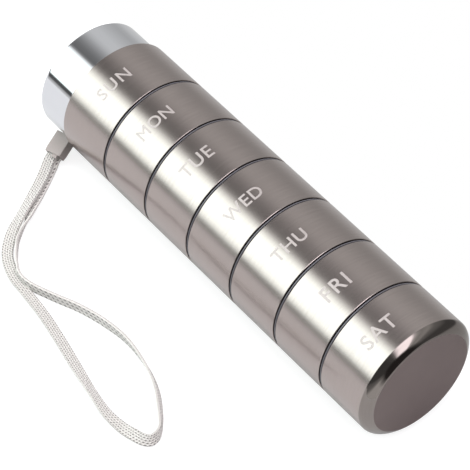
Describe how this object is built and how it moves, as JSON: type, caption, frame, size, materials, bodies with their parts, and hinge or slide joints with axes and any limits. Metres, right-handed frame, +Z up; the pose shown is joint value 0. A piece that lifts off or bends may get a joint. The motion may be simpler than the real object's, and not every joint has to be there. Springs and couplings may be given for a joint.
{
  "type": "pill organizer",
  "caption": "Screw-together steel pill tube with a compartment for each day of the week, a chrome lid and a wrist strap, lying on its side.",
  "frame": {"origin": "centre of the bounding box's footprint, on the surface that the tube lies on, without the strap", "axes": "+X along the tube from the lid to the closed base, +Z up, and the strap lies at -Y"},
  "size_m": [0.146, 0.0834, 0.0378],
  "materials": {
    "body_steel": "brushed round the tube",
    "lid_chrome": "mirror polish",
    "liner_plastic": "satin moulded",
    "gasket_rubber": "matte",
    "sleeve_plastic": "soft satin",
    "strap_fabric": "flat knitted tape",
    "cord_fabric": "braided cord"
  },
  "bodies": {
    "saturday": {"saturday_shell": "body_steel", "saturday_liner": "liner_plastic"},
    "friday_seal": {"friday_gasket": "gasket_rubber"},
    "friday": {"friday_sleeve": "body_steel", "friday_liner": "liner_plastic"},
    "thursday_seal": {"thursday_gasket": "gasket_rubber"},
    "thursday": {"thursday_sleeve": "body_steel", "thursday_liner": "liner_plastic"},
    "wednesday_seal": {"wednesday_gasket": "gasket_rubber"},
    "wednesday": {"wednesday_sleeve": "body_steel", "wednesday_liner": "liner_plastic"},
    "tuesday_seal": {"tuesday_gasket": "gasket_rubber"},
    "tuesday": {"tuesday_sleeve": "body_steel", "tuesday_liner": "liner_plastic"},
    "monday_seal": {"monday_gasket": "gasket_rubber"},
    "monday": {"monday_sleeve": "body_steel", "monday_liner": "liner_plastic"},
    "sunday_seal": {"sunday_gasket": "gasket_rubber"},
    "sunday": {"sunday_sleeve": "body_steel", "sunday_liner": "liner_plastic"},
    "lid_seal": {"lid_gasket": "gasket_rubber"},
    "lid": {"lid_shell": "lid_chrome", "lid_insert": "liner_plastic", "strap_lug": "lid_chrome"},
    "strap": {"strap_sleeve": "sleeve_plastic", "tie_cord": "cord_fabric", "strap_loop": "strap_fabric"}
  },
  "joints": [
    {"name": "friday_lift", "type": "slide", "parent": "saturday", "child": "friday_seal", "axis": [-1, 0, 0], "range_m": [0, 0.0045]},
    {"name": "friday_turn", "type": "hinge", "parent": "friday_seal", "child": "friday", "pos_m": [0.05395, 0, 0.01891], "axis": [-1, 0, 0], "range_deg": [0, 540]},
    {"name": "thursday_lift", "type": "slide", "parent": "friday", "child": "thursday_seal", "axis": [-1, 0, 0], "range_m": [0, 0.0045]},
    {"name": "thursday_turn", "type": "hinge", "parent": "thursday_seal", "child": "thursday", "pos_m": [0.03485, 0, 0.01891], "axis": [-1, 0, 0], "range_deg": [0, 540]},
    {"name": "wednesday_lift", "type": "slide", "parent": "thursday", "child": "wednesday_seal", "axis": [-1, 0, 0], "range_m": [0, 0.0045]},
    {"name": "wednesday_turn", "type": "hinge", "parent": "wednesday_seal", "child": "wednesday", "pos_m": [0.01575, 0, 0.01891], "axis": [-1, 0, 0], "range_deg": [0, 540]},
    {"name": "tuesday_lift", "type": "slide", "parent": "wednesday", "child": "tuesday_seal", "axis": [-1, 0, 0], "range_m": [0, 0.0045]},
    {"name": "tuesday_turn", "type": "hinge", "parent": "tuesday_seal", "child": "tuesday", "pos_m": [-0.00335, 0, 0.01891], "axis": [-1, 0, 0], "range_deg": [0, 540]},
    {"name": "monday_lift", "type": "slide", "parent": "tuesday", "child": "monday_seal", "axis": [-1, 0, 0], "range_m": [0, 0.0045]},
    {"name": "monday_turn", "type": "hinge", "parent": "monday_seal", "child": "monday", "pos_m": [-0.02245, 0, 0.01891], "axis": [-1, 0, 0], "range_deg": [0, 540]},
    {"name": "sunday_lift", "type": "slide", "parent": "monday", "child": "sunday_seal", "axis": [-1, 0, 0], "range_m": [0, 0.0045]},
    {"name": "sunday_turn", "type": "hinge", "parent": "sunday_seal", "child": "sunday", "pos_m": [-0.04155, 0, 0.01891], "axis": [-1, 0, 0], "range_deg": [0, 540]},
    {"name": "lid_lift", "type": "slide", "parent": "sunday", "child": "lid_seal", "axis": [-1, 0, 0], "range_m": [0, 0.0045]},
    {"name": "lid_turn", "type": "hinge", "parent": "lid_seal", "child": "lid", "pos_m": [-0.06065, 0, 0.01891], "axis": [-1, 0, 0], "range_deg": [0, 540]},
    {"name": "strap_swing", "type": "hinge", "parent": "lid", "child": "strap", "pos_m": [-0.0673, -0.01443, 0.00448], "axis": [-1, 0, 0], "range_deg": [-90, 70]}
  ],
  "couplings": [
    {"joint": "friday_lift", "follows": "friday_turn", "m_per_rad": 0.00047746},
    {"joint": "thursday_lift", "follows": "thursday_turn", "m_per_rad": 0.00047746},
    {"joint": "wednesday_lift", "follows": "wednesday_turn", "m_per_rad": 0.00047746},
    {"joint": "tuesday_lift", "follows": "tuesday_turn", "m_per_rad": 0.00047746},
    {"joint": "monday_lift", "follows": "monday_turn", "m_per_rad": 0.00047746},
    {"joint": "sunday_lift", "follows": "sunday_turn", "m_per_rad": 0.00047746},
    {"joint": "lid_lift", "follows": "lid_turn", "m_per_rad": 0.00047746}
  ]
}
